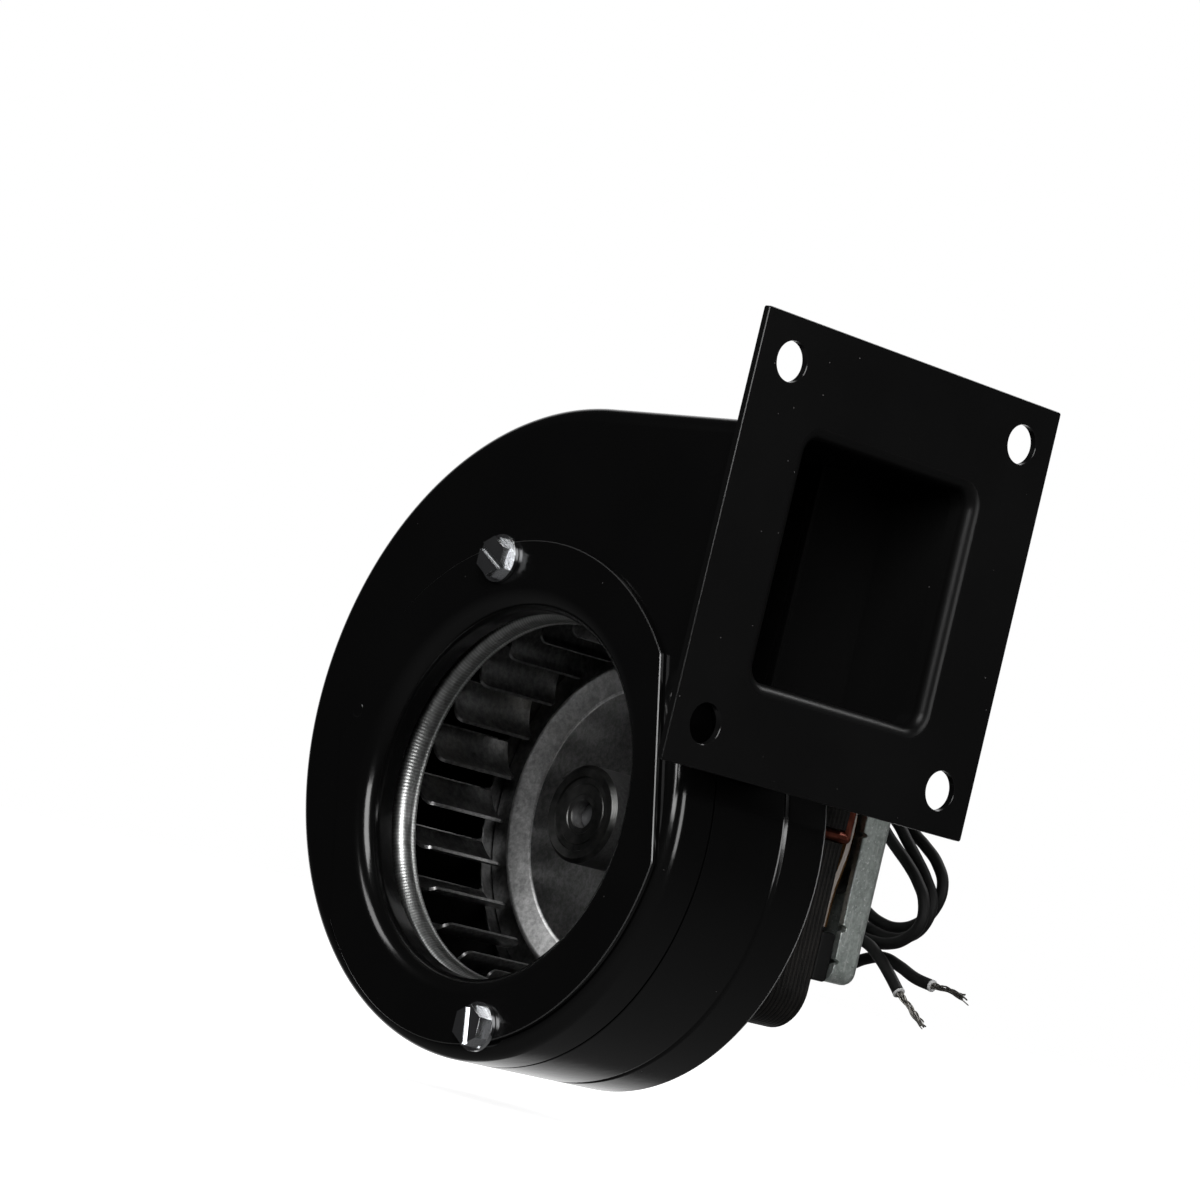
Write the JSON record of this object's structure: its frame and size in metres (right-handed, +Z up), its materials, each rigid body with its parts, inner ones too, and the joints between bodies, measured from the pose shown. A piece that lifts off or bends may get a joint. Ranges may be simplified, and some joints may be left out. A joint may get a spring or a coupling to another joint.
{
  "type": "centrifugal blower",
  "caption": "Squirrel-cage wheel in a black sheet-steel scroll with a square outlet flange, turned by an open-frame motor with bare-ended leads.",
  "frame": {"origin": "centre of the outlet flange's four-hole pattern, on the flange's outer face", "axes": "+X out of the outlet, +Y along the wheel's axis from the inlet to the motor, +Z up"},
  "size_m": [0.112, 0.0936, 0.1369],
  "materials": {
    "black_paint": "gloss black enamel on sheet steel",
    "screw_zinc": "bright zinc",
    "wheel_galvanised": "speckled galvanised sheet",
    "bracket_zinc": "spangled zinc with a faint green cast",
    "plain_steel": "turned steel",
    "lamination": "stacked dark laminations",
    "cast_aluminium": "cast",
    "copper": "bare copper, so density is that of a brass",
    "amber_tape": "varnished amber tape",
    "black_plastic": "moulded",
    "bronze": "sintered",
    "felt": "oiled wool felt",
    "lead_insulation": "soft black insulation",
    "tinned_strands": "tinned copper strands"
  },
  "bodies": {
    "housing": {"inlet_shell": "black_paint", "scroll_shell": "black_paint", "motor_side_plate": "black_paint", "outlet_flange": "black_paint", "inlet_ring_plate": "black_paint", "inlet_screw_upper": "screw_zinc", "inlet_screw_lower": "screw_zinc", "stator_core": "lamination", "coil_core_bar": "lamination", "coil_bobbin": "black_plastic", "coil_winding": "amber_tape", "shading_loop_outlet_side": "copper", "shading_loop_far_side": "copper", "bracket_front": "bracket_zinc", "bracket_rear": "bracket_zinc", "bearing_front": "bronze", "bearing_rear": "bronze", "oil_felt_front": "felt", "oil_felt_rear": "felt", "bearing_retainer_front": "bracket_zinc", "bearing_retainer_rear": "bracket_zinc", "through_bolt_outlet_side": "screw_zinc", "spacer_front_outlet_side": "plain_steel", "spacer_rear_outlet_side": "plain_steel", "through_bolt_far_side": "screw_zinc", "spacer_front_far_side": "plain_steel", "spacer_rear_far_side": "plain_steel", "terminal_block": "black_plastic", "coil_lead_sleeve": "amber_tape", "lead_wire_outer": "lead_insulation", "lead_wire_inner": "lead_insulation", "lead_strands_outer": "tinned_strands", "lead_strands_inner": "tinned_strands"},
    "rotor": {"wheel_blade_cage": "wheel_galvanised", "wheel_front_ring": "wheel_galvanised", "wheel_back_plate": "wheel_galvanised", "wheel_hub": "plain_steel", "hub_set_screw": "plain_steel", "motor_shaft": "plain_steel", "rotor_core": "lamination", "rotor_end_ring_front": "cast_aluminium", "rotor_end_ring_rear": "cast_aluminium", "rotor_spacer": "plain_steel", "thrust_washer_front": "black_plastic", "thrust_washer_rear": "black_plastic"}
  },
  "joints": [
    {"name": "wheel_spin", "type": "hinge", "parent": "housing", "child": "rotor", "pos_m": [-0.0558, 0, -0.0498], "axis": [0, 1, 0], "continuous": true}
  ]
}
